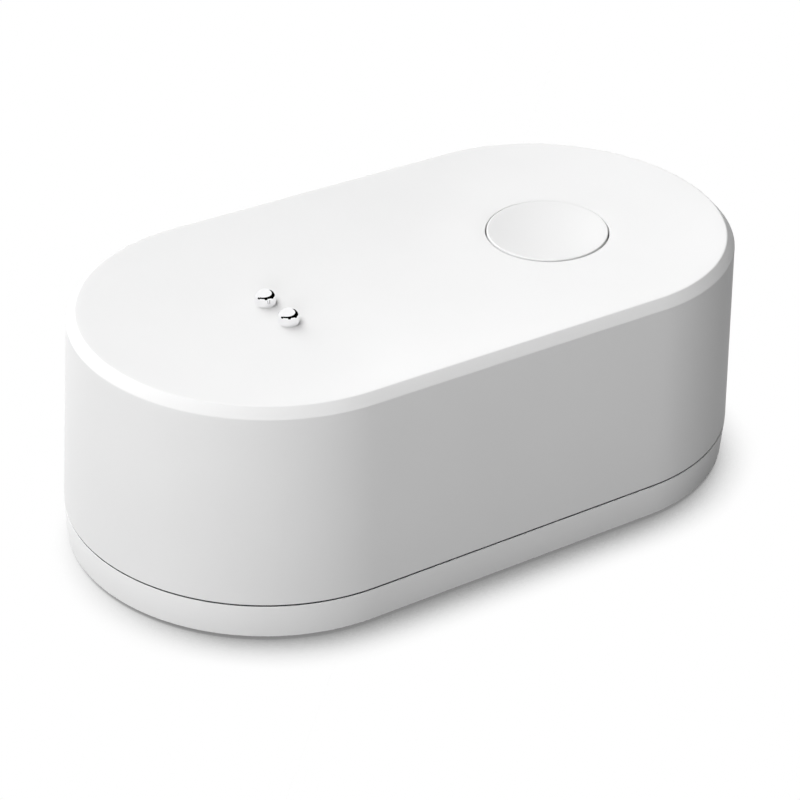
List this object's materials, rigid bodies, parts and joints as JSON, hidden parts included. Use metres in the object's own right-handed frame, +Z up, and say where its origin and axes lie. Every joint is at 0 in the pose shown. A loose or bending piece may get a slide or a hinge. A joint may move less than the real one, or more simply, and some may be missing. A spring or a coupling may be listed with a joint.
{
  "type": "water leak sensor",
  "caption": "Stadium-plan floor puck that senses water: drafted white case on metal floor probes, dished top with drip probes and a push button, cells and board inside.",
  "frame": {"origin": "middle of the footprint, on the floor that the floor probes stand on", "axes": "+X along the case towards the button end, +Z up, -Y the long side that the picture shows"},
  "size_m": [0.0752, 0.041, 0.0259],
  "materials": {
    "case_white": "fine satin moulded plastic",
    "base_white": "fine satin moulded plastic",
    "button_white": "fine satin moulded plastic",
    "probe_chrome": "polished plating",
    "probe_steel": "plated steel",
    "seal_rubber": "matte rubber",
    "seal_silicone": "silicone",
    "inner_plastic": "plain moulded plastic",
    "screw_steel": "zinc plated",
    "black_plastic": "moulded plastic",
    "board_green": "solder mask on glass fibre",
    "shield_metal": "tinned sheet",
    "white_ceramic": "ceramic",
    "ferrite": "pressed ferrite",
    "tan_ceramic": "ceramic",
    "lamp_clear": "clear resin",
    "brass": "turned brass",
    "lead_red": "insulated wire",
    "contact_steel": "nickel plated spring steel",
    "cell_jacket": "printed jacket on steel"
  },
  "bodies": {
    "base": {"base_cover": "base_white", "base_seal_ring": "seal_rubber", "seam_gasket": "seal_rubber", "floor_probe_1": "probe_steel", "floor_probe_2": "probe_steel", "floor_probe_3": "probe_steel", "floor_probe_4": "probe_steel", "floor_probe_seal_1": "seal_rubber", "floor_probe_seal_2": "seal_rubber", "floor_probe_seal_3": "seal_rubber", "floor_probe_seal_4": "seal_rubber"},
    "housing": {"upper_housing": "case_white", "button_stem_seal": "seal_silicone", "button_retainer": "inner_plastic", "retainer_screws": "screw_steel", "button_switch": "black_plastic", "main_board": "board_green", "board_screws": "screw_steel", "radio_shield": "shield_metal", "chip_antenna": "white_ceramic", "crystal": "shield_metal", "boost_inductor": "ferrite", "filter_capacitors": "tan_ceramic", "status_lamp": "lamp_clear", "sounder_disc": "brass", "sounder_ceramic": "white_ceramic", "sounder_leads": "lead_red", "battery_tray": "inner_plastic", "tray_screws": "screw_steel", "bridge_contact": "contact_steel", "positive_contact": "contact_steel", "negative_contact": "contact_steel", "drip_probe_1": "probe_chrome", "drip_probe_2": "probe_chrome", "drip_probe_washer_1": "seal_rubber", "drip_probe_washer_2": "seal_rubber", "drip_probe_nut_1": "brass", "drip_probe_nut_2": "brass", "drip_probe_contact_1": "brass", "drip_probe_contact_2": "brass", "battery_cell_1": "cell_jacket", "battery_cell_2": "cell_jacket", "contact_spring_1": "contact_steel", "contact_spring_2": "contact_steel", "probe_pillar_1": "brass", "probe_pillar_2": "brass", "probe_pillar_3": "brass", "probe_pillar_4": "brass"},
    "button": {"button_cap": "button_white"},
    "plunger": {"switch_plunger": "black_plastic"}
  },
  "joints": [
    {"name": "housing_lift", "type": "slide", "parent": "base", "child": "housing", "axis": [0, 0, 1], "range_m": [0, 0.025]},
    {"name": "button_press", "type": "slide", "parent": "housing", "child": "button", "axis": [0, 0, -1], "range_m": [0, 0.0004], "stiffness_N_per_m": 2500},
    {"name": "plunger_press", "type": "slide", "parent": "housing", "child": "plunger", "axis": [0, 0, -1], "range_m": [0, 0.0004]}
  ],
  "couplings": [
    {"joint": "plunger_press", "follows": "button_press", "ratio": 1}
  ]
}
